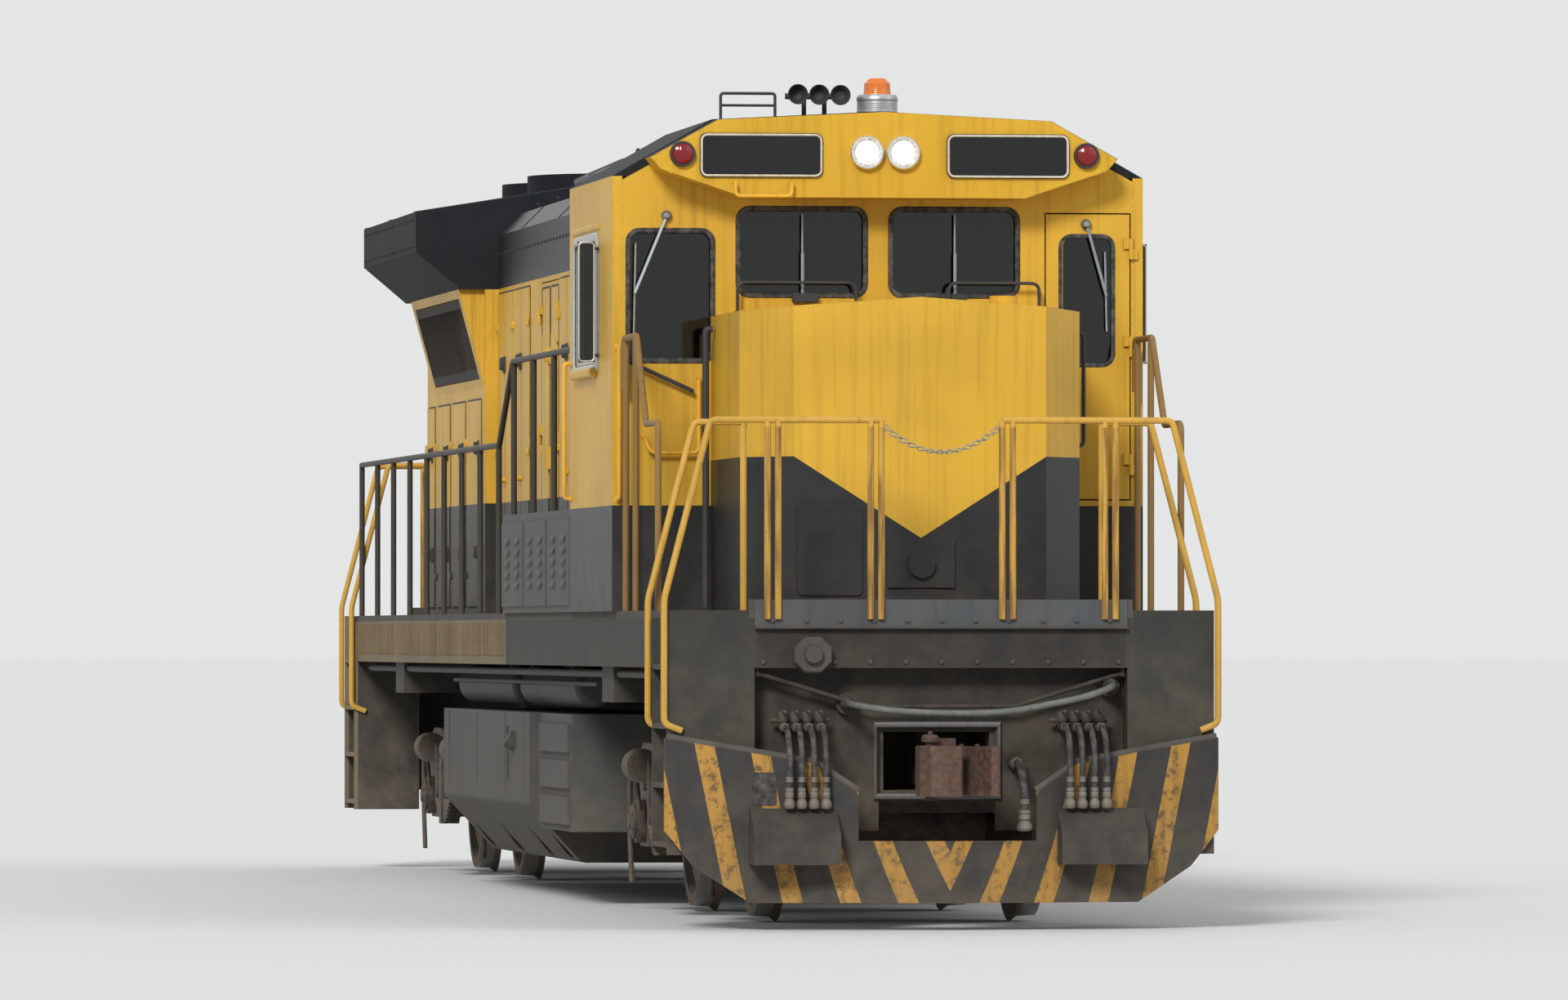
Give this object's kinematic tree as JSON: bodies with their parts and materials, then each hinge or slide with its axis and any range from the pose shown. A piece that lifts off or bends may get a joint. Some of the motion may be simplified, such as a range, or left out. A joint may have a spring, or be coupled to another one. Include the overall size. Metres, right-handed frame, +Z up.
{
  "type": "diesel locomotive",
  "caption": "Road-switcher diesel locomotive with low nose, full-width cab, long hood, flared radiator cabin, swivelling trucks, turning wheelsets and opening doors.",
  "frame": {"origin": "under the middle of the locomotive, level with the wheel flanges' lowest point", "axes": "+X forward to the cab end, +Y to the left-hand side, +Z up"},
  "size_m": [20.2172, 3.35, 4.8831],
  "materials": {
    "body_yellow": "weathered gloss enamel",
    "lower_grey": "weathered matt enamel",
    "roof_blue_grey": "weathered matt enamel",
    "frame_grey": "dusty matt enamel",
    "truck_iron": "dusty cast steel",
    "wheel_steel": "rolled bright tread, rusty plate",
    "coupler_rust": "rusty cast steel",
    "rail_yellow": "weathered enamel",
    "rail_grey": "weathered enamel",
    "window_glass": "clear",
    "lamp_silver": "bright",
    "marker_red": "gloss",
    "beacon_amber": "gloss",
    "board_black": "gloss",
    "grille_black": "matt",
    "bare_steel": "dull",
    "seat_black": "worn",
    "desk_grey": "matt enamel",
    "hose_rubber": "dusty",
    "cable_grey": "dusty"
  },
  "bodies": {
    "carbody": {"deck": "lower_grey", "underframe": "frame_grey", "fuel_tank": "frame_grey", "valve_box": "frame_grey", "air_reservoirs": "frame_grey", "plough": "frame_grey", "pilot_front": "frame_grey", "pilot_rear": "frame_grey", "nose": "body_yellow", "cab_front_wall": "body_yellow", "cab_rear_wall": "body_yellow", "cab_side_walls": "body_yellow", "cab_floor": "desk_grey", "cab_roof": "roof_blue_grey", "cab_glass": "window_glass", "control_desk": "desk_grey", "cab_seats": "seat_black", "lockers": "lower_grey", "blower_hood": "body_yellow", "engine_hood": "body_yellow", "engine_block": "truck_iron", "exhaust_stack": "roof_blue_grey", "radiator_cabin": "body_yellow", "radiator_grilles": "grille_black", "radiator_wings": "roof_blue_grey", "fan_housings": "roof_blue_grey", "handrails_front": "rail_yellow", "handrails_rear": "rail_yellow", "handrails_side": "rail_grey", "headlamps": "lamp_silver", "number_boards": "board_black", "marker_lamps": "marker_red", "horn": "bare_steel", "beacon": "beacon_amber", "mirrors": "bare_steel", "mu_hoses": "hose_rubber", "brake_hose": "hose_rubber", "hose_couplings": "truck_iron", "jumper_cable": "cable_grey"},
    "front_truck": {"truck_front": "truck_iron", "motors_front": "truck_iron"},
    "rear_truck": {"truck_rear": "truck_iron", "motors_rear": "truck_iron"},
    "axle_1": {"wheelset_1": "wheel_steel"},
    "axle_2": {"wheelset_2": "wheel_steel"},
    "axle_3": {"wheelset_3": "wheel_steel"},
    "axle_4": {"wheelset_4": "wheel_steel"},
    "front_coupler": {"coupler_front": "coupler_rust"},
    "rear_coupler": {"coupler_rear": "coupler_rust"},
    "front_cab_door": {"cab_front_door": "body_yellow"},
    "rear_cab_door": {"cab_rear_door": "body_yellow"},
    "right_rear_leaf": {"hood_door_right_rear": "body_yellow"},
    "right_front_leaf": {"hood_door_right_front": "body_yellow"},
    "left_rear_leaf": {"hood_door_left_rear": "body_yellow"},
    "left_front_leaf": {"hood_door_left_front": "body_yellow"},
    "front_radiator_rotor": {"radiator_fan_front": "bare_steel"},
    "rear_radiator_rotor": {"radiator_fan_rear": "bare_steel"},
    "brake_rotor": {"brake_fan": "bare_steel"}
  },
  "joints": [
    {"name": "front_truck_swivel", "type": "hinge", "parent": "carbody", "child": "front_truck", "pos_m": [6.1, 0, 1.05], "axis": [0, 0, 1], "range_deg": [-8, 8]},
    {"name": "rear_truck_swivel", "type": "hinge", "parent": "carbody", "child": "rear_truck", "pos_m": [-6.1, 0, 1.05], "axis": [0, 0, 1], "range_deg": [-8, 8]},
    {"name": "axle_1_spin", "type": "hinge", "parent": "front_truck", "child": "axle_1", "pos_m": [7.4715, 0, 0.536], "axis": [0, 1, 0], "continuous": true},
    {"name": "axle_2_spin", "type": "hinge", "parent": "front_truck", "child": "axle_2", "pos_m": [4.7285, 0, 0.536], "axis": [0, 1, 0], "continuous": true},
    {"name": "axle_3_spin", "type": "hinge", "parent": "rear_truck", "child": "axle_3", "pos_m": [-4.7285, 0, 0.536], "axis": [0, 1, 0], "continuous": true},
    {"name": "axle_4_spin", "type": "hinge", "parent": "rear_truck", "child": "axle_4", "pos_m": [-7.4715, 0, 0.536], "axis": [0, 1, 0], "continuous": true},
    {"name": "front_coupler_swing", "type": "hinge", "parent": "carbody", "child": "front_coupler", "pos_m": [8.7, 0, 0.888], "axis": [0, 0, 1], "range_deg": [-6, 6]},
    {"name": "rear_coupler_swing", "type": "hinge", "parent": "carbody", "child": "rear_coupler", "pos_m": [-8.7, 0, 0.888], "axis": [0, 0, 1], "range_deg": [-6, 6]},
    {"name": "cab_front_door_hinge", "type": "hinge", "parent": "carbody", "child": "front_cab_door", "pos_m": [6.914, 1.48, 3.2], "axis": [0, 0, 1], "range_deg": [0, 90]},
    {"name": "cab_rear_door_hinge", "type": "hinge", "parent": "carbody", "child": "rear_cab_door", "pos_m": [4.736, -1.48, 3.2], "axis": [0, 0, 1], "range_deg": [0, 90]},
    {"name": "right_rear_leaf_hinge", "type": "hinge", "parent": "carbody", "child": "right_rear_leaf", "pos_m": [-2.212, -0.954, 2.9], "axis": [0, 0, -1], "range_deg": [0, 100]},
    {"name": "right_front_leaf_hinge", "type": "hinge", "parent": "carbody", "child": "right_front_leaf", "pos_m": [-1.188, -0.954, 2.9], "axis": [0, 0, 1], "range_deg": [0, 100]},
    {"name": "left_rear_leaf_hinge", "type": "hinge", "parent": "carbody", "child": "left_rear_leaf", "pos_m": [-2.212, 0.954, 2.9], "axis": [0, 0, 1], "range_deg": [0, 100]},
    {"name": "left_front_leaf_hinge", "type": "hinge", "parent": "carbody", "child": "left_front_leaf", "pos_m": [-1.188, 0.954, 2.9], "axis": [0, 0, -1], "range_deg": [0, 100]},
    {"name": "front_radiator_fan_spin", "type": "hinge", "parent": "carbody", "child": "front_radiator_rotor", "pos_m": [-5.85, 0, 4.5], "axis": [0, 0, 1], "continuous": true},
    {"name": "rear_radiator_fan_spin", "type": "hinge", "parent": "carbody", "child": "rear_radiator_rotor", "pos_m": [-7.45, 0, 4.5], "axis": [0, 0, 1], "continuous": true},
    {"name": "brake_fan_spin", "type": "hinge", "parent": "carbody", "child": "brake_rotor", "pos_m": [2.6, 0, 4.46], "axis": [0, 0, 1], "continuous": true}
  ]
}
